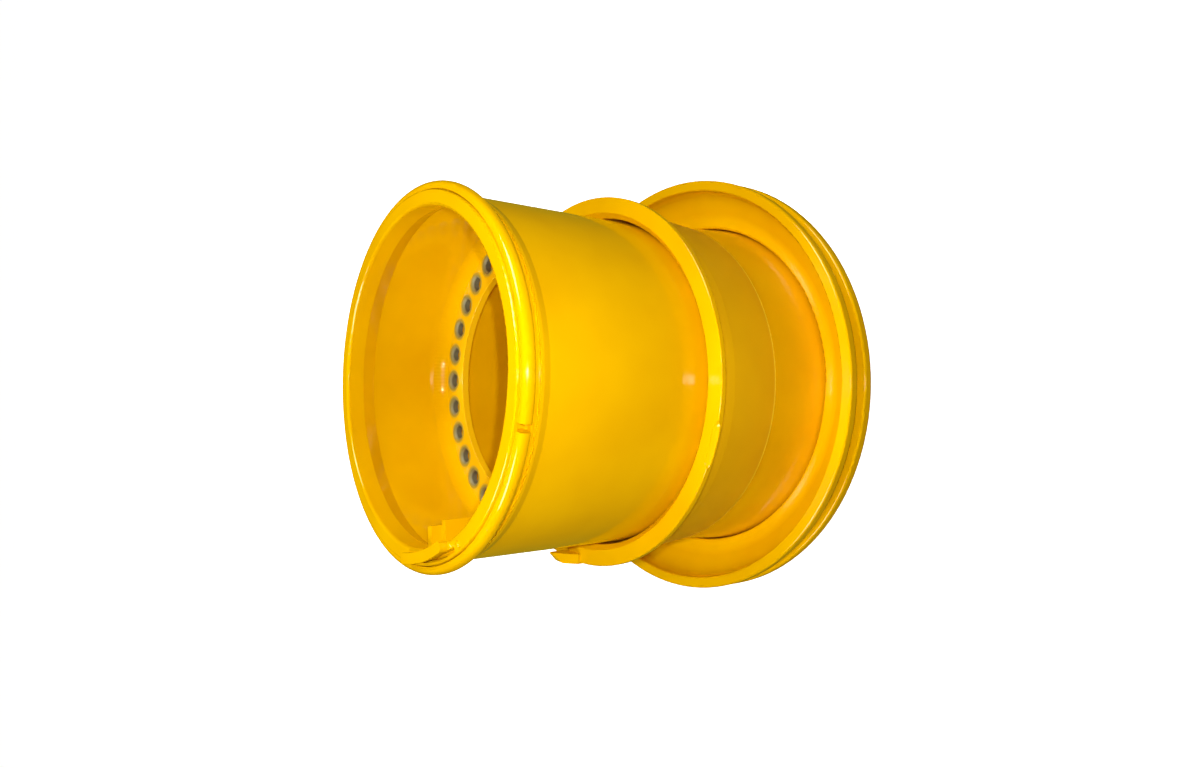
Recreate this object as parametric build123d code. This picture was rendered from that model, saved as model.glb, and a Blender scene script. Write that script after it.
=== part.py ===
from build123d import *
import os
from math import cos, radians, sin, tan

# Five-piece earthmover rim, standing on its inboard end with the gutter end up.
# Its axis is Z, and the origin is the centre of the face that bolts to the hub.
# Depths run along the axis from the front face of the gutter towards the inboard end.
# Bearings run round the axis from -Y towards -X. All lengths are in millimetres.

# Nominal rim: 25 inch bead seat with flanges 3.5 inches high
BEAD_SEAT_DIAMETER = 635.0
FLANGE_HEIGHT = 88.9
SEAT_TAPER = 5.0

# Barrel
BARREL_DROP = 21.5
WALL = 12.5
BAND_JOINT_GAP = 25.0
RIM_LENGTH = 738.0

# Gutter section, with the lock ring groove and the seal groove
GUTTER_LENGTH = 58.0
GUTTER_INSET = 11.5
GUTTER_BORE_LENGTH = 32.0
LIP_RISE = 1.5
LIP_WIDTH = 9.0
LIP_EDGE = 3.0
LIP_INNER_EDGE = 5.0
RING_GROOVE_WIDTH = 19.5
RING_GROOVE_DEPTH = 9.0
SEAL_LAND_HEIGHT = 3.5
SEAL_LAND_WIDTH = 4.0
SEAL_GROOVE_WIDTH = 5.5
SEAL_GROOVE_DEPTH = 3.5
SEAL_RIB_WIDTH = 5.5
SEAL_RAMP = 12.0

# Driver slot through the gutter lip
SLOT_WIDTH = 8.0
SLOT_INSET = 9.0
SLOT_START = 60.5
SLOT_END = 82.0

# Mounting disc
DISC_DEPTH = 213.0
DISC_THICKNESS = 14.0
DISC_WIDTH = 68.5
DISC_BORE_EDGE = 1.0
BOLT_INSET = 33.5
BOLT_COUNT = 30
BOLT_HOLE = 24.0
BOLT_SEAT = 33.0
BOLT_SEAT_DEPTH = 4.0
FIRST_BOLT = 10.3
WELD_LEG = 11.0
WELD_PREP = 4.0
FRONT_WELD_RISE = 27.0
BACK_WELD_RISE = 12.0
WELD_HOLLOW = 0.37

# Back section
FLANGE_SEAT_WIDTH = 50.0
BACK_LIP_HEIGHT = 21.0
BACK_LIP_WIDTH = 22.0
BACK_LIP_EDGE = 4.0

# Lock ring
RING_HEIGHT = 24.0
RING_BULB = 20.5
RING_OVERHANG = 5.0
RING_FOOT_WIDTH = 15.2
RING_LIFT = 1.0
RING_GAP = 12.0
RING_GAP_BEARING = 12.2

# Bead seat band
BAND_LIP_HEIGHT = 19.5
BAND_LIP_WIDTH = 11.0
BAND_LENGTH = 167.0
BAND_BEVEL = 9.5
BAND_END_WALL = 4.35
BAND_MOUTH_GAP = 0.8
BAND_SEAT_HEIGHT = 1.0
BAND_SEAT_WIDTH = 42.0
BAND_HEEL = 6.0
NOTCH_BEARING = 16.5
NOTCH_LENGTH = 86.0
NOTCH_ROUND = 20.0
NOTCH_OUT = 4.0
NOTCH_RISE = 14.0
NOTCH_CORNER = 14.0

# Driver lug on the band
LUG_BEARING = 93.4
LUG_WIDTH = 38.0
LUG_HEIGHT = 18.0
LUG_PROUD = 1.5
LUG_NOSE = 8.0
LUG_LENGTH = 45.0
LUG_SHOULDER = 27.0
LUG_HEEL = 4.0
LUG_EDGE = 4.0

# Side flanges, one profile used twice
FLANGE_LIP = 20.4
FLANGE_LIP_WIDTH = 19.0
FLANGE_DEPTH = 52.0
FLANGE_FOOT_WIDTH = 40.0
FLANGE_FOOT_HEIGHT = 12.0
FLANGE_WEB_HEIGHT = 22.0
FLANGE_EDGE = 5.0

# Driver pocket plates inside the gutter, and the driver key lying on its lip
POCKET_PLATE = 12.0
POCKET_BEARINGS = (83.0, 80.5)
POCKET_STARTS = (20.5, 40.0)
POCKET_ENDS = (40.0, 98.0)
POCKET_HEIGHTS = (45.5, 53.5)
KEY_WIDTH = 16.5
KEY_THICKNESS = 14.0
KEY_BEARINGS = (64.5, 76.0, 89.5)
KEY_INSETS = (20.0, 15.8, 9.5)

# Clearances of the loose rings on what carries them
SEAT_GAP = 0.3
FLANGE_GAP = 0.5

TAPER_SLOPE = tan(radians(SEAT_TAPER))
SEAT_R = BEAD_SEAT_DIAMETER / 2
FLANGE_SEAT_R = SEAT_R - FLANGE_GAP
FLANGE_R = SEAT_R + FLANGE_HEIGHT
BARREL_R = SEAT_R - BARREL_DROP
INNER_R = BARREL_R - WALL
LIP_R = BARREL_R + LIP_RISE
GUTTER_R = INNER_R - GUTTER_INSET
GROOVE_R = LIP_R - RING_GROOVE_DEPTH
GROOVE_END = LIP_WIDTH + RING_GROOVE_WIDTH
LAND_R = BARREL_R + SEAL_LAND_HEIGHT
DISC_BORE_R = INNER_R - DISC_WIDTH
BOLT_CIRCLE_R = INNER_R - BOLT_INSET
MOUNT_DEPTH = DISC_DEPTH + DISC_THICKNESS
JOINT_DEPTH = MOUNT_DEPTH + BAND_JOINT_GAP
STOP_DEPTH = RIM_LENGTH - BACK_LIP_WIDTH
SEAT_DEPTH = STOP_DEPTH - FLANGE_SEAT_WIDTH
TAPER_DEPTH = SEAT_DEPTH - (FLANGE_SEAT_R - BARREL_R) / TAPER_SLOPE
BAND_SEAT_R = SEAT_R + BAND_SEAT_HEIGHT
BAND_LIP_R = BAND_SEAT_R + BAND_LIP_HEIGHT
BAND_END_R = BAND_SEAT_R - (BAND_LENGTH - BAND_LIP_WIDTH - BAND_SEAT_WIDTH) * TAPER_SLOPE
BAND_BORE_R = BAND_END_R - BAND_END_WALL
BAND_END_DEPTH = SEAT_DEPTH - (FLANGE_SEAT_R + SEAT_GAP - BAND_BORE_R) / TAPER_SLOPE
BAND_LIP_DEPTH = BAND_END_DEPTH - BAND_LENGTH


def height(depth):
    """Z of a plane at this depth below the gutter's front face."""
    return MOUNT_DEPTH - depth


def turned(corners, angle=360):
    """Revolve a section round Z. Each corner is (radius, depth, edge radius)."""
    points = [(r, 0, height(depth)) for r, depth, edge in corners]
    outline = FilletPolyline(*points, radius=[edge for r, depth, edge in corners], close=True)
    return revolve(make_face(outline), Axis.Z, angle)


def bearing(angle):
    """Rotation that carries +X to the given bearing."""
    return Rot(0, 0, 270 - angle)


def spot(radius, angle, depth=0.0):
    """Point at a radius, bearing and depth."""
    turn = radians(270 - angle)
    return Vector(radius * cos(turn), radius * sin(turn), height(depth))


# Gutter section: a rolled bar with the lip, the ring groove and the seal groove
def gutter_section():
    land_end = GROOVE_END + SEAL_LAND_WIDTH
    rib_start = land_end + SEAL_GROOVE_WIDTH
    rib_end = rib_start + SEAL_RIB_WIDTH
    seal_r = LAND_R - SEAL_GROOVE_DEPTH
    body = turned([
        (GUTTER_R, 0, LIP_INNER_EDGE),
        (LIP_R, 0, LIP_EDGE),
        (LIP_R, LIP_WIDTH, LIP_EDGE / 2),
        (GROOVE_R, LIP_WIDTH, LIP_EDGE),
        (GROOVE_R, GROOVE_END, LIP_EDGE),
        (LAND_R, GROOVE_END, LIP_EDGE / 3),
        (LAND_R, land_end, LIP_EDGE / 4),
        (seal_r, land_end, LIP_EDGE / 3),
        (seal_r, rib_start, LIP_EDGE / 3),
        (LAND_R, rib_start, LIP_EDGE / 4),
        (LAND_R, rib_end, LIP_EDGE),
        (BARREL_R, rib_end + SEAL_RAMP, LIP_EDGE),
        (BARREL_R, GUTTER_LENGTH, 0),
        (INNER_R, GUTTER_LENGTH, 0),
        (GUTTER_R, GUTTER_BORE_LENGTH, LIP_INNER_EDGE),
    ])
    middle = (SLOT_START + SLOT_END) / 2
    ends = [spot(LIP_R - SLOT_INSET, angle) for angle in (SLOT_START, middle, SLOT_END)]
    slot = SlotArc(ThreePointArc(*ends), SLOT_WIDTH)
    return body - extrude(slot, LIP_WIDTH + LIP_EDGE, dir=(0, 0, -1))


# Barrel: two rolled bands butt-welded end to end
def barrel_band(start, end):
    return turned([
        (BARREL_R, start, 0),
        (BARREL_R, end, 0),
        (INNER_R, end, 0),
        (INNER_R, start, 0),
    ])


# Back section: the inboard bead seat, the flange seat and the lip that stops the flange
def back_section():
    lip_r = FLANGE_SEAT_R + BACK_LIP_HEIGHT
    return turned([
        (BARREL_R, TAPER_DEPTH, 0),
        (FLANGE_SEAT_R, SEAT_DEPTH, 0),
        (FLANGE_SEAT_R, STOP_DEPTH, BACK_LIP_EDGE / 2),
        (lip_r, STOP_DEPTH, BACK_LIP_EDGE),
        (lip_r, RIM_LENGTH, BACK_LIP_EDGE),
        (FLANGE_SEAT_R - WALL, RIM_LENGTH, BACK_LIP_EDGE),
        (FLANGE_SEAT_R - WALL, SEAT_DEPTH, 0),
        (INNER_R, TAPER_DEPTH, 0),
    ])


# Mounting disc: a flat ring with bevelled weld edges and a circle of bolt holes with conical nut seats
def mounting_disc():
    ring = turned([
        (DISC_BORE_R, DISC_DEPTH, DISC_BORE_EDGE),
        (INNER_R - WELD_LEG, DISC_DEPTH, 0),
        (INNER_R, DISC_DEPTH + WELD_PREP, 0),
        (INNER_R, MOUNT_DEPTH - WELD_PREP, 0),
        (INNER_R - WELD_LEG, MOUNT_DEPTH, 0),
        (DISC_BORE_R, MOUNT_DEPTH, DISC_BORE_EDGE),
    ])
    for index in range(BOLT_COUNT):
        place = Pos(spot(BOLT_CIRCLE_R, FIRST_BOLT + index * 360 / BOLT_COUNT, DISC_DEPTH))
        ring -= place * Cylinder(BOLT_HOLE / 2, 3 * DISC_THICKNESS)
        ring -= place * Pos(0, 0, -BOLT_SEAT_DEPTH / 2) * Cone(BOLT_HOLE / 2, BOLT_SEAT / 2, BOLT_SEAT_DEPTH)
    return ring


# Fillet welds that hold the disc in the barrel, one on each face, with a hollow bead.
# Each fills the bevel on the disc's edge, so that the flat face ends at the toe of the weld.
def disc_weld(face_depth, rise, prep):
    corner = (INNER_R, 0, height(face_depth + prep))
    on_wall = (INNER_R, 0, height(face_depth + rise))
    on_disc = (INNER_R - WELD_LEG, 0, height(face_depth))
    hollow = (INNER_R - WELD_HOLLOW * WELD_LEG, 0, height(face_depth + WELD_HOLLOW * rise))
    outline = [Line(on_disc, corner), Line(corner, on_wall), ThreePointArc(on_wall, hollow, on_disc)]
    return revolve(make_face(outline), Axis.Z, 360)


# Lock ring: a split spring ring with a round bulb that reaches over the lip, on a square foot
def lock_ring():
    crest_r = GROOVE_R + RING_HEIGHT
    foot_r = GROOVE_R + SEAT_GAP
    foot_start = LIP_WIDTH + SEAT_GAP
    foot_end = foot_start + RING_FOOT_WIDTH
    neck_r = LIP_R + RING_LIFT
    bulb_start = LIP_WIDTH - RING_OVERHANG
    bulb_end = bulb_start + RING_BULB
    ring = turned([
        (foot_r, foot_start, LIP_EDGE),
        (neck_r, foot_start, LIP_EDGE / 3),
        (neck_r, bulb_start, LIP_EDGE / 2),
        (crest_r, bulb_start, RING_BULB * 0.45),
        (crest_r, bulb_end, RING_BULB * 0.45),
        (foot_r, foot_end, LIP_EDGE),
    ])
    gap = Pos(crest_r, 0, height(bulb_end)) * Box(4 * RING_BULB, RING_GAP, 4 * RING_BULB)
    return ring - bearing(RING_GAP_BEARING) * gap


# Bead seat band: a loose tapered ring, with a bevelled lip that the lock ring holds and a scalloped pry notch
def bead_seat_band():
    heel_depth = BAND_LIP_DEPTH + BAND_LIP_WIDTH
    taper_start = heel_depth + BAND_SEAT_WIDTH
    mouth_r = LAND_R + BAND_MOUTH_GAP
    ring = turned([
        (BAND_LIP_R, BAND_LIP_DEPTH, 1.5),
        (BAND_LIP_R, heel_depth, 2.5),
        (BAND_SEAT_R, heel_depth + BAND_HEEL / 3, BAND_HEEL),
        (BAND_SEAT_R, taper_start, 0),
        (BAND_END_R, BAND_END_DEPTH, 1.5),
        (BAND_BORE_R, BAND_END_DEPTH, 1),
        (mouth_r, BAND_LIP_DEPTH + BAND_BEVEL, 1.5),
        (mouth_r + BAND_BEVEL, BAND_LIP_DEPTH, 1.5),
    ])
    cutter = Rot(90, 0, 0) * Cylinder(NOTCH_ROUND, NOTCH_LENGTH)
    cutter = fillet(cutter.edges().filter_by(GeomType.CIRCLE), NOTCH_CORNER)
    notch = Pos(BAND_LIP_R + NOTCH_OUT, 0, height(BAND_LIP_DEPTH - NOTCH_RISE)) * cutter
    return ring - bearing(NOTCH_BEARING) * notch


# Driver lug: a block welded on the outboard face of the band, its nose a wedge both ways
def band_driver_lug(band):
    root = height(BAND_LIP_DEPTH + BAND_BEVEL)
    heel = height(BAND_LIP_DEPTH - LUG_HEEL)
    nose = height(BAND_LIP_DEPTH - LUG_LENGTH)
    half = LUG_WIDTH / 2
    shoulder = height(BAND_LIP_DEPTH - LUG_SHOULDER)
    plan = FilletPolyline(
        (0, half, root),
        (0, half, heel),
        (0, LUG_NOSE - half, nose),
        (0, -half, nose),
        (0, -half, root),
        radius=[0, LUG_EDGE, LUG_EDGE / 2, LUG_EDGE / 2, 0],
        close=True,
    )
    side = FilletPolyline(
        (0, half, root),
        (0, half, nose),
        (LUG_HEIGHT, half, shoulder),
        (LUG_HEIGHT, half, root),
        radius=[0, LUG_EDGE / 2, LUG_EDGE, 0],
        close=True,
    )
    block = extrude(make_face(plan), LUG_HEIGHT, dir=(1, 0, 0))
    block = block & extrude(make_face(side), LUG_WIDTH, dir=(0, -1, 0))
    lug = bearing(LUG_BEARING) * Pos(BAND_LIP_R + LUG_PROUD - LUG_HEIGHT, 0, 0) * block
    return (lug - band).solids().sort_by(SortBy.VOLUME)[-1]


# Side flange: a rolled ring with a square foot, a leaning web and a heavy lip
def side_flange(foot_depth):
    bore_r = SEAT_R
    foot_end = foot_depth + FLANGE_FOOT_WIDTH
    lip_depth = foot_depth - FLANGE_DEPTH
    lip_inner = FLANGE_R - FLANGE_LIP
    web_r = bore_r + FLANGE_WEB_HEIGHT
    foot_r = bore_r + FLANGE_FOOT_HEIGHT
    lean = (lip_inner - web_r) * tan(radians(33))
    return turned([
        (bore_r, foot_depth, FLANGE_EDGE),
        (web_r, foot_depth, 32),
        (lip_inner, foot_depth - lean, 16),
        (lip_inner, lip_depth, 3),
        (FLANGE_R, lip_depth, 4),
        (FLANGE_R, lip_depth + FLANGE_LIP_WIDTH, 14),
        (bore_r + 1.8 * FLANGE_WEB_HEIGHT, foot_depth + 9, 30),
        (foot_r, foot_end - 8, 10),
        (foot_r, foot_end, 2),
        (bore_r, foot_end, 3),
    ])


# Driver pocket: two stepped plates welded on edge inside the gutter
def pocket_plate(index, shell):
    start = POCKET_STARTS[index]
    length = POCKET_ENDS[index] - start
    top = INNER_R - POCKET_HEIGHTS[index]
    depth = POCKET_HEIGHTS[index] + WALL / 4
    block = Box(depth, POCKET_PLATE, length)
    block = fillet(block.edges().filter_by(Axis.Y).group_by(Axis.X)[0], 2)
    place = bearing(POCKET_BEARINGS[index]) * Pos(top + depth / 2, 0, height(start + length / 2))
    plate = place * block
    for piece in shell:
        plate = plate - piece
    return plate


# Driver key: a curved bar with a round end, lying on the front of the lip
def driver_key():
    path = ThreePointArc(*[spot(LIP_R - inset, angle) for inset, angle in zip(KEY_INSETS, KEY_BEARINGS)])
    section = Plane(path @ 0, x_dir=(0, 0, 1), z_dir=path % 0) * Rectangle(KEY_THICKNESS, KEY_WIDTH)
    bar = sweep(section, path=path)
    end = Pos(path @ 0) * Cylinder(KEY_WIDTH / 2, KEY_THICKNESS)
    return Pos(0, 0, KEY_THICKNESS / 2) * (bar + end)


gutter = gutter_section()
outboard_band = barrel_band(GUTTER_LENGTH, JOINT_DEPTH)
band = bead_seat_band()
inner_foot = STOP_DEPTH - FLANGE_FOOT_WIDTH
outer_foot = inner_foot - FLANGE_FOOT_WIDTH

nodes = {
    "gutter_section": gutter,
    "outboard_band": outboard_band,
    "inboard_band": barrel_band(JOINT_DEPTH, TAPER_DEPTH),
    "back_section": back_section(),
    "mounting_disc": mounting_disc(),
    "front_disc_weld": disc_weld(DISC_DEPTH, -FRONT_WELD_RISE, WELD_PREP),
    "back_disc_weld": disc_weld(MOUNT_DEPTH, BACK_WELD_RISE, -WELD_PREP),
    "pocket_front_plate": pocket_plate(0, [gutter, outboard_band]),
    "pocket_back_plate": pocket_plate(1, [gutter, outboard_band]),
    "driver_key": driver_key(),
    "inboard_flange": side_flange(inner_foot),
    "outboard_flange": side_flange(outer_foot),
    "bead_seat_band": band,
    "band_driver_lug": band_driver_lug(band),
    "lock_ring": lock_ring(),
}

os.makedirs("parts", exist_ok=True)
for name, solid in nodes.items():
    export_step(solid, f"parts/{name}.step")
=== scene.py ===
import math
import bpy
from mathutils import Matrix, Vector


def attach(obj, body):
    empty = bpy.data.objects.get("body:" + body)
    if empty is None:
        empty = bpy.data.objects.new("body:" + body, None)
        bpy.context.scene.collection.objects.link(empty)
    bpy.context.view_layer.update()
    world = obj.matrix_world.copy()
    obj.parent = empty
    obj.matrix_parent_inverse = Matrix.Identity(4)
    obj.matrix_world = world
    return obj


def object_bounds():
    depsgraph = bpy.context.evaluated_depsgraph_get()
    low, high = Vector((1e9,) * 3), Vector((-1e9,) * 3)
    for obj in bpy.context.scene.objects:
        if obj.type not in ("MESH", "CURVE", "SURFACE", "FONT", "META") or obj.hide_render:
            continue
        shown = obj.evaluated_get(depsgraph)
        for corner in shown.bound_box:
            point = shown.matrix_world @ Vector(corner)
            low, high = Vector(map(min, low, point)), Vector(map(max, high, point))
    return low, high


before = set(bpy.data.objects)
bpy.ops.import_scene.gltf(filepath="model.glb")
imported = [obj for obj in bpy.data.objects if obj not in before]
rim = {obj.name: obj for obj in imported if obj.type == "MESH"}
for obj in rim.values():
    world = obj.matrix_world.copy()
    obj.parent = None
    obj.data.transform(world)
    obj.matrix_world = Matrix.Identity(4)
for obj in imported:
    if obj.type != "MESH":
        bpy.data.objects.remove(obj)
cad_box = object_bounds()


# Gutter section: the rolled end section that holds the lock ring.
# Mild steel, sprayed with a glossy yellow machine enamel, which pools and thins a little,
# so its tone drifts by a shade over a hand's width and its gloss is slightly wavy.
def srgb(code):
    """Linear RGBA of an sRGB hex colour."""
    channels = [int(code[i:i + 2], 16) / 255 for i in (1, 3, 5)]
    return [c / 12.92 if c <= 0.04045 else ((c + 0.055) / 1.055) ** 2.4 for c in channels] + [1.0]


def add(finish, kind, links=None, values=None, **settings):
    """Add a node to a finish: its own settings, the values of its sockets and what feeds them."""
    tree = finish.node_tree
    new = tree.nodes.new(kind)
    for name, value in settings.items():
        setattr(new, name, value)
    for socket, value in (values or {}).items():
        new.inputs[socket].default_value = value
    for socket, source in (links or {}).items():
        tree.links.new(source, new.inputs[socket])
    return new


def feed(finish, source, socket):
    """Lead what a node gives to a socket of the finish's shader."""
    skin = finish.node_tree.nodes["Principled BSDF"]
    finish.node_tree.links.new(source, skin.inputs[socket])


def yellow_enamel(name):
    """Sprayed enamel. Finer finishes start from its nodes place, tone and peel."""
    drift_width = 0.125
    peel_width = 0.00606  # about 2 mm on the rim, drawn three times as coarse so that it shows
    finish = bpy.data.materials.new(name)
    finish.use_nodes = True
    skin = finish.node_tree.nodes["Principled BSDF"]
    skin.inputs["Specular IOR Level"].default_value = 0.5
    skin.inputs["Specular Tint"].default_value = srgb("#FFFBF0")
    place = add(finish, "ShaderNodeTexCoord", name="place").outputs["Object"]
    # drifts of the film, in tone and gloss
    cloud = add(finish, "ShaderNodeTexNoise", {"Vector": place},
                {"Scale": 1 / drift_width, "Detail": 2.0})
    tone = add(finish, "ShaderNodeValToRGB", {"Fac": cloud.outputs["Fac"]}, name="tone")
    deep, light = tone.color_ramp.elements
    deep.position = 0.3
    deep.color = srgb("#E3A900")
    light.position = 0.7
    light.color = srgb("#EBB300")
    feed(finish, tone.outputs["Color"], "Base Color")
    gloss = add(finish, "ShaderNodeMapRange", {"Value": cloud.outputs["Fac"]},
                {"To Min": 0.04, "To Max": 0.06})
    feed(finish, gloss.outputs["Result"], "Roughness")
    # orange peel
    grain = add(finish, "ShaderNodeTexNoise", {"Vector": place},
                {"Scale": 1 / peel_width, "Detail": 1.0})
    peel = add(finish, "ShaderNodeBump", {"Height": grain.outputs["Fac"]},
               {"Strength": 0.03, "Distance": 0.0004}, name="peel")
    feed(finish, peel.outputs["Normal"], "Normal")
    return finish


def spray(part, finish):
    """Put one finish all over a piece."""
    part.data.materials.clear()
    part.data.materials.append(finish)


enamel = yellow_enamel("yellow_enamel")
spray(rim["gutter_section"], enamel)


# Barrel: two rolled plates and the back section, butt-welded end to end and dressed flush.
# Rolling and dressing leave faint hoops round the plate under the same enamel, and the disc's
# weld has pulled the plate in by a few hundredths of a millimetre.
def ends(part):
    """Lowest and highest level of a piece along the rim's axis."""
    levels = [vertex.co.z for vertex in part.data.vertices]
    return min(levels), max(levels)


hoop_width = 0.01176
hub_face, disc_front = ends(rim["mounting_disc"])
band_end, band_face = ends(rim["bead_seat_band"])
pull_level = disc_front + 0.002
pull_flat = 0.006
pull_reach = 0.013
seat_start = band_end + 0.009
seat_soft = band_end - 0.011
hooped = yellow_enamel("yellow_enamel_on_rolled_plate")
film = hooped.node_tree.nodes
split = add(hooped, "ShaderNodeSeparateXYZ", {"Vector": film["place"].outputs["Object"]})
level = split.outputs["Z"]
along = add(hooped, "ShaderNodeCombineXYZ", {"Z": level})
hoop = add(hooped, "ShaderNodeTexNoise", {"Vector": along.outputs["Vector"]},
           {"Scale": 1 / hoop_width, "Detail": 2.0})
rolled = add(hooped, "ShaderNodeBump",
             {"Height": hoop.outputs["Fac"], "Normal": film["peel"].outputs["Normal"]},
             {"Strength": 0.05, "Distance": 0.0006})
from_weld = add(hooped, "ShaderNodeMath", {0: level}, {1: pull_level}, operation="SUBTRACT")
either_side = add(hooped, "ShaderNodeMath", {0: from_weld.outputs[0]}, operation="ABSOLUTE")
dip = add(hooped, "ShaderNodeMapRange", {"Value": either_side.outputs[0]},
          {"From Min": pull_flat, "From Max": pull_reach}, interpolation_type="SMOOTHSTEP")
drawn_in = add(hooped, "ShaderNodeBump",
               {"Height": dip.outputs["Result"], "Normal": rolled.outputs["Normal"]},
               {"Strength": 1.0, "Distance": 0.00004})
feed(hooped, drawn_in.outputs["Normal"], "Normal")
# the gloss is softer on the flange seat, past the end of the bead seat band
soft = add(hooped, "ShaderNodeMapRange", {"Value": level},
           {"From Min": seat_start, "From Max": seat_soft, "To Min": 0.05, "To Max": 0.24})
feed(hooped, soft.outputs["Result"], "Roughness")
for name in ("outboard_band", "inboard_band", "back_section"):
    spray(rim[name], hooped)


# Mounting disc: a flame-cut ring of 14 mm plate with 30 bolt holes, enamelled like the rim in a
# yellow painted a shade lighter, as painted light for the brighter light on the disc.
# The nut seats are masked and machined, so each hole has a ring of bare steel with a dull
# olive border where the masking disc lay. The bare wall of the hole is painted a darker grey, as
# painted shade inside the hole.
hole_count = 30
bolt_circle = 0.250
first_hole = math.radians(259.7)
pitch = 2 * math.pi / hole_count
hole_radius = 0.012
border_full = 0.0200
border_edge = 0.0245
coated_back = hub_face + 0.003
ring_reach = 0.030
# colour by distance from the hole's axis: wall, steel cone, then the olive border; the wall's
# dark grey is bare steel darkened as painted shade
ring_colours = (
    (0.0123, "#6A644A"), (0.0135, "#86805A"), (0.0159, "#8E8650"),
    (0.0174, "#978A34"), (0.0216, "#B49818"),
)
colour_a, colour_b, mixed = 6, 7, 2  # sockets of a Mix node that mixes colours
seated = yellow_enamel("yellow_enamel_with_bare_nut_seats")
film = seated.node_tree.nodes
# painted light: the disc's yellow is a shade lighter than the rim's, standing in for brighter
# light falling on it
for stop, code in zip(film["tone"].color_ramp.elements, ("#E8B606", "#F0C210")):
    stop.color = srgb(code)
split = add(seated, "ShaderNodeSeparateXYZ", {"Vector": film["place"].outputs["Object"]})
turn = add(seated, "ShaderNodeMath", {0: split.outputs["Y"], 1: split.outputs["X"]},
           operation="ARCTAN2")
past_first = add(seated, "ShaderNodeMath", {0: turn.outputs[0]}, {1: first_hole},
                 operation="SUBTRACT")
swing = add(seated, "ShaderNodeMath", {0: past_first.outputs[0]}, {1: pitch / 2, 2: -pitch / 2},
            operation="WRAP")
flat = add(seated, "ShaderNodeCombineXYZ", {"X": split.outputs["X"], "Y": split.outputs["Y"]})
reach = add(seated, "ShaderNodeVectorMath", {0: flat.outputs["Vector"]}, operation="LENGTH")
sine = add(seated, "ShaderNodeMath", {0: swing.outputs[0]}, operation="SINE")
cosine = add(seated, "ShaderNodeMath", {0: swing.outputs[0]}, operation="COSINE")
across = add(seated, "ShaderNodeMath", {0: reach.outputs["Value"], 1: sine.outputs[0]},
             operation="MULTIPLY")
out = add(seated, "ShaderNodeMath", {0: reach.outputs["Value"], 1: cosine.outputs[0]},
          {2: -bolt_circle}, operation="MULTIPLY_ADD")
offset = add(seated, "ShaderNodeCombineXYZ", {"X": across.outputs[0], "Y": out.outputs[0]})
from_hole = add(seated, "ShaderNodeVectorMath", {0: offset.outputs["Vector"]}, operation="LENGTH")
ring = add(seated, "ShaderNodeMapRange", {"Value": from_hole.outputs["Value"]},
           {"From Max": ring_reach})
bare = add(seated, "ShaderNodeValToRGB", {"Fac": ring.outputs["Result"]})
stops = bare.color_ramp.elements
stops.remove(stops[1])
for radius, code in ring_colours:
    stops.new(radius / ring_reach).color = srgb(code)
stops.remove(stops[0])
# the mask lay on the front, and the drill left the wall of the hole bare; the wall's darker grey
# is painted shade
border = add(seated, "ShaderNodeMapRange", {"Value": from_hole.outputs["Value"]},
             {"From Min": border_edge, "From Max": border_full})
front = add(seated, "ShaderNodeMapRange", {"Value": split.outputs["Z"]},
            {"From Min": coated_back, "From Max": coated_back + 0.001})
wall = add(seated, "ShaderNodeMapRange", {"Value": from_hole.outputs["Value"]},
           {"From Min": hole_radius + 0.0008, "From Max": hole_radius + 0.0004})
open_side = add(seated, "ShaderNodeMath", {0: front.outputs["Result"], 1: wall.outputs["Result"]},
                operation="MAXIMUM")
masked = add(seated, "ShaderNodeMath", {0: border.outputs["Result"], 1: open_side.outputs[0]},
             operation="MULTIPLY")
coat = add(seated, "ShaderNodeMix",
           {"Factor": masked.outputs[0], colour_a: film["tone"].outputs["Color"],
            colour_b: bare.outputs["Color"]}, data_type="RGBA")
feed(seated, coat.outputs[mixed], "Base Color")
dull = add(seated, "ShaderNodeMapRange", {"Value": masked.outputs[0]},
           {"To Min": 0.14, "To Max": 0.5})
feed(seated, dull.outputs["Result"], "Roughness")
spray(rim["mounting_disc"], seated)


# Disc welds: two hollow fillet welds laid in one run all round, one on each face of the disc.
# The enamel follows the ripples that the weld pool leaves, about 7 mm apart, which wander
# with the welder's hand.
ripple_count = 250
wander = 4.0  # radians of a ripple
wander_width = 0.01667
rippled = yellow_enamel("yellow_enamel_on_weld")
film = rippled.node_tree.nodes
film["Principled BSDF"].inputs["Specular IOR Level"].default_value = 0.2
place = film["place"].outputs["Object"]
split = add(rippled, "ShaderNodeSeparateXYZ", {"Vector": place})
turn = add(rippled, "ShaderNodeMath", {0: split.outputs["Y"], 1: split.outputs["X"]},
           operation="ARCTAN2")
unsteady = add(rippled, "ShaderNodeTexNoise", {"Vector": place}, {"Scale": 1 / wander_width})
drift = add(rippled, "ShaderNodeMath", {0: unsteady.outputs["Fac"]}, {1: wander},
            operation="MULTIPLY")
phase = add(rippled, "ShaderNodeMath", {0: turn.outputs[0], 2: drift.outputs[0]},
            {1: ripple_count}, operation="MULTIPLY_ADD")
ripple = add(rippled, "ShaderNodeMath", {0: phase.outputs[0]}, operation="SINE")
pool = add(rippled, "ShaderNodeBump",
           {"Height": ripple.outputs[0], "Normal": film["peel"].outputs["Normal"]},
           {"Strength": 0.2, "Distance": 0.0004})
feed(rippled, pool.outputs["Normal"], "Normal")
for name in ("front_disc_weld", "back_disc_weld"):
    spray(rim[name], rippled)


# Driver pocket and driver key: two plates on edge inside the gutter and a bent bar on its lip.
# All are mild steel, welded on and sprayed with the rim.
for name in ("pocket_front_plate", "pocket_back_plate", "driver_key"):
    spray(rim[name], enamel)


# Key welds: two lumps of weld metal that tack the upper end of the driver key to the lip.
# Laid by hand, each of three beads that overlap, fused, smoothed and sprayed with the rim.
gutter_end = ends(rim["gutter_section"])[1]
bead_sink = 0.0002
near_side = 270
bpy.ops.object.select_all(action="DESELECT")
beads = []
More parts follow.
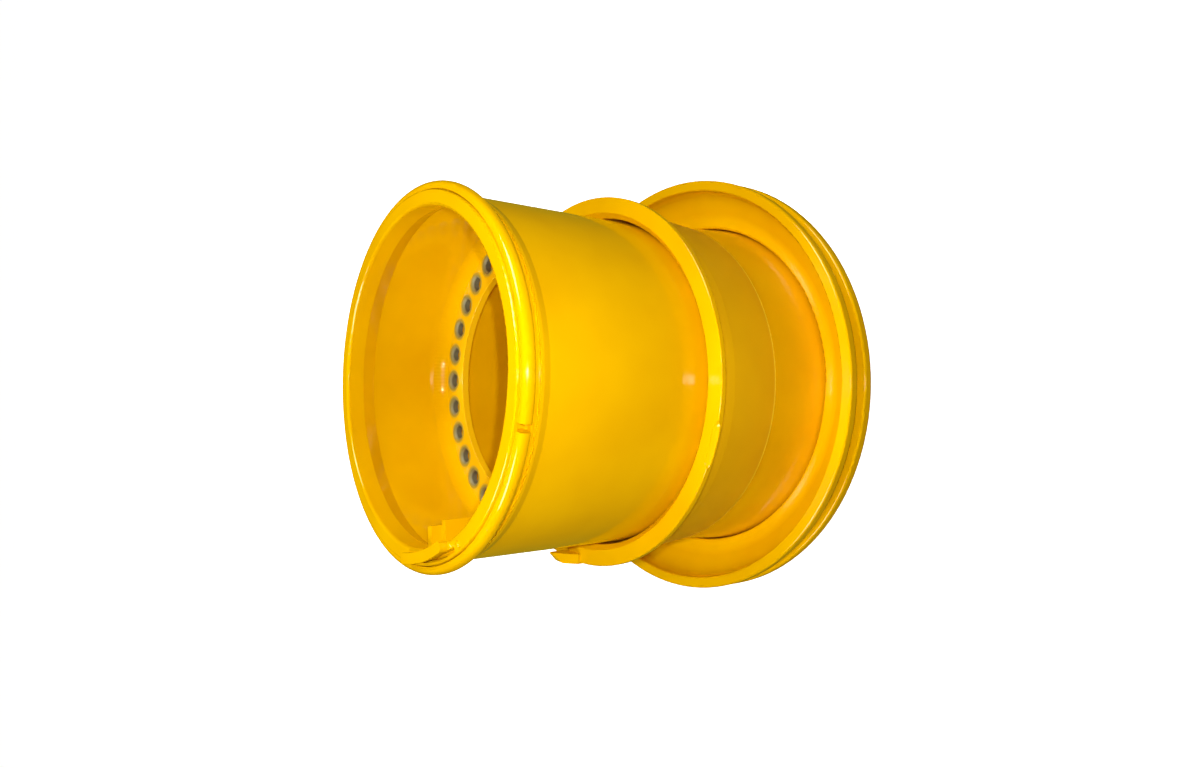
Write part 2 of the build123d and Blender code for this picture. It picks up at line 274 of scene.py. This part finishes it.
# bearings run clockwise from the near side, seen from the gutter end
for radius, bearing, size in (
    (0.2770, 61.9, 0.0040), (0.2800, 61.5, 0.0046), (0.2832, 61.2, 0.0038),
    (0.2836, 57.3, 0.0036), (0.2864, 57.0, 0.0042), (0.2894, 56.8, 0.0034),
):
    angle = math.radians(near_side - bearing)
    centre = (radius * math.cos(angle), radius * math.sin(angle), gutter_end - bead_sink)
    bpy.ops.mesh.primitive_uv_sphere_add(segments=24, ring_count=12, radius=size, location=centre)
    bpy.ops.object.transform_apply(location=True, rotation=True, scale=True)
    beads.append(bpy.context.object)
for bead in beads:
    bead.select_set(True)
bpy.ops.object.join()
key_welds = bpy.context.object
key_welds.name = "key_welds"
bpy.ops.object.modifier_add(type="REMESH")
key_welds.modifiers["Remesh"].mode = "VOXEL"
key_welds.modifiers["Remesh"].voxel_size = 0.0004
bpy.ops.object.modifier_apply(modifier="Remesh")
bpy.ops.object.modifier_add(type="SMOOTH")
key_welds.modifiers["Smooth"].iterations = 8
bpy.ops.object.modifier_apply(modifier="Smooth")
bpy.ops.object.shade_smooth()
spray(key_welds, enamel)
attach(key_welds, "root")


# Side flanges and lock ring: loose rolled steel sections that slide over the barrel.
# They are sprayed apart from the rim with the same enamel.
for name in ("inboard_flange", "outboard_flange", "lock_ring"):
    spray(rim[name], enamel)


# Bead seat band and its driver lug: a loose rolled steel ring with a bevelled lip, and a block
# welded on its face. The enamel is matt along the seat, where the tyre's bead will sit, and a
# painted highlight, a paler yellow line, runs along the rounded edge of the inboard end.
lip_depth = 0.008
matt_depth = 0.014
# where the painted highlight runs along the edge of the band's inboard end
edge_highlight_start = band_end + 0.0044
edge_highlight_full = band_end + 0.0038
seat = yellow_enamel("yellow_enamel_on_bead_seat")
film = seat.node_tree.nodes
split = add(seat, "ShaderNodeSeparateXYZ", {"Vector": film["place"].outputs["Object"]})
level = split.outputs["Z"]
matt = add(seat, "ShaderNodeMapRange", {"Value": level},
           {"From Min": band_face - lip_depth, "From Max": band_face - matt_depth,
            "To Min": 0.09, "To Max": 0.45})
feed(seat, matt.outputs["Result"], "Roughness")
# painted highlight: a paler yellow along the rounded edge of the band's inboard end
painted_edge_highlight = add(seat, "ShaderNodeMapRange", {"Value": level},
                {"From Min": edge_highlight_start, "From Max": edge_highlight_full})
coat = add(seat, "ShaderNodeMix",
           {"Factor": painted_edge_highlight.outputs["Result"], colour_a: film["tone"].outputs["Color"]},
           {colour_b: srgb("#FFDB30")}, data_type="RGBA")
feed(seat, coat.outputs[mixed], "Base Color")
for name in ("bead_seat_band", "band_driver_lug"):
    spray(rim[name], seat)


# Floor: a plain white studio floor under the inboard end, lit so evenly that no shadow shows.
# The enamel does not see it: the glow that it would give comes from the studio below.
floor_width = 600
bpy.ops.mesh.primitive_plane_add(size=floor_width, location=(0, 0, cad_box[0].z))
floor = bpy.context.object
floor.name = "floor"
white_floor = bpy.data.materials.new("white_floor")
white_floor.use_nodes = True
paint = white_floor.node_tree.nodes["Principled BSDF"]
paint.inputs["Base Color"].default_value = srgb("#F8F8F8")
paint.inputs["Roughness"].default_value = 0.9
paint.inputs["Emission Color"].default_value = srgb("#FFFFFF")
paint.inputs["Emission Strength"].default_value = 1.0
floor.data.materials.append(white_floor)
floor.visible_diffuse = False
floor.visible_glossy = False


# Camera: close to the gutter end and above it, looking down on the near side of the rim,
# turned so that the rim's axis lies across the frame.
lens_from_axis = 1.190
lens_above_gutter = 0.5945
lens = Vector((0.0, -lens_from_axis, gutter_end + lens_above_gutter))
right = Vector((0.02405, -0.60410, -0.79655))
up = Vector((0.99944, -0.00403, 0.03323))
back = right.cross(up).normalized()
camera = bpy.data.objects.new("camera", bpy.data.cameras.new("camera"))
bpy.context.scene.collection.objects.link(camera)
bpy.context.scene.camera = camera
camera.matrix_world = Matrix.Translation(lens) @ Matrix((right, up, back)).transposed().to_4x4()
camera.data.lens = 24.5
camera.data.sensor_width = 36
camera.data.shift_x = 0.0276
camera.data.shift_y = -0.0194
bpy.context.scene.view_settings.view_transform = "Standard"


# Light: two softboxes high on either side, a low fill behind and a flash in two halves
# on either side of the lens. A white studio stands round the rim, with the yellowish glow
# that comes up from the floor beside it.
flash_aside = 0.038 * right
flash_height = 0.045 * up
for name, spot, width, depth, energy in (
    ("upper_softbox", Vector((2.6, 0.0, 4.0)), 1.8, 1.8, 126),
    ("lower_softbox", Vector((-2.6, 0.0, 4.0)), 1.8, 1.8, 122),
    ("back_fill", Vector((0.0, 3.2, -0.1)), 2.4, 0.6, 40),
    ("flash_left", lens + flash_height - flash_aside, 0.04, 0.018, 9.6),
    ("flash_right", lens + flash_height + flash_aside, 0.04, 0.018, 9.6),
):
    bpy.ops.object.light_add(type="AREA", location=spot)
    lamp = bpy.context.object
    lamp.name = name
    lamp.data.shape = "RECTANGLE"
    lamp.data.size = width
    lamp.data.size_y = depth
    lamp.data.energy = energy
    lamp.rotation_mode = "QUATERNION"
    lamp.rotation_quaternion = (-spot).to_track_quat("-Z", "Y")
# the fill lights the shaded side without showing as a bright bar in the gloss
bpy.data.objects["back_fill"].visible_glossy = False
world = bpy.data.worlds.new("studio")
bpy.context.scene.world = world
world.use_nodes = True
studio = world.node_tree.nodes
aim = add(world, "ShaderNodeTexCoord").outputs["Generated"]
rise = add(world, "ShaderNodeSeparateXYZ", {"Vector": aim})
glow = add(world, "ShaderNodeMapRange", {"Value": rise.outputs["Z"]},
           {"From Min": -0.05, "From Max": -0.35, "To Min": 0.02, "To Max": 0.39})
world.node_tree.links.new(glow.outputs["Result"], studio["Background"].inputs["Strength"])
studio["Background"].inputs["Color"].default_value = srgb("#FFE030")
# the white backdrop is only seen, so that it does not wash out the enamel
seen = add(world, "ShaderNodeLightPath")
backdrop = add(world, "ShaderNodeBackground", values={"Color": srgb("#FFFFFF")})
room = add(world, "ShaderNodeMixShader",
           {"Fac": seen.outputs["Is Camera Ray"], 1: studio["Background"].outputs["Background"],
            2: backdrop.outputs["Background"]})
world.node_tree.links.new(room.outputs["Shader"], studio["World Output"].inputs["Surface"])
